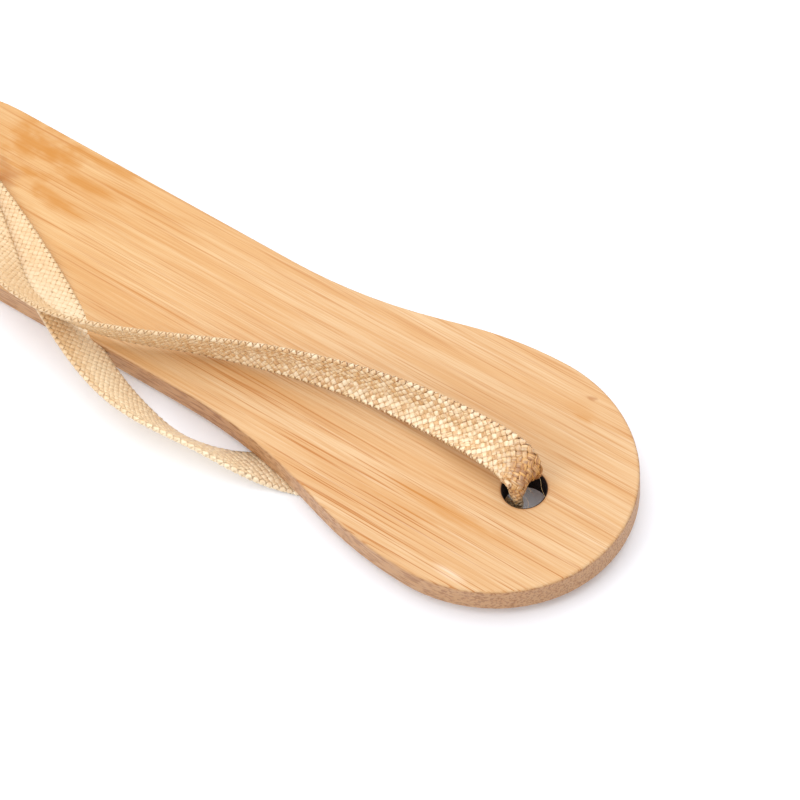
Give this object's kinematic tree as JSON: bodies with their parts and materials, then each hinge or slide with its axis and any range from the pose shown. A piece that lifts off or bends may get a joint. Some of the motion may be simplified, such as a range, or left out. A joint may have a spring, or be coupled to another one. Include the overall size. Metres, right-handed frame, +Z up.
{
  "type": "bone folder",
  "caption": "Flat bamboo folder with a wide round handle end, a tapering thinned working end and a flat braided cord loop through a drilled hole, tied in an overhand knot.",
  "frame": {"origin": "centre of the blade's length and width, on the tabletop that it lies on", "axes": "+X along the blade towards the round handle end, +Y across the blade, +Z up from the tabletop"},
  "size_m": [0.15, 0.0324, 0.0097],
  "materials": {
    "bamboo": "sanded, thin satin lacquer, straight bamboo grain",
    "braided_cord": "shiny flat polyester braid, pale gold"
  },
  "bodies": {
    "root": {"bamboo_blade": "bamboo", "cord_loop": "braided_cord", "cord_knot": "braided_cord"}
  },
  "joints": []
}
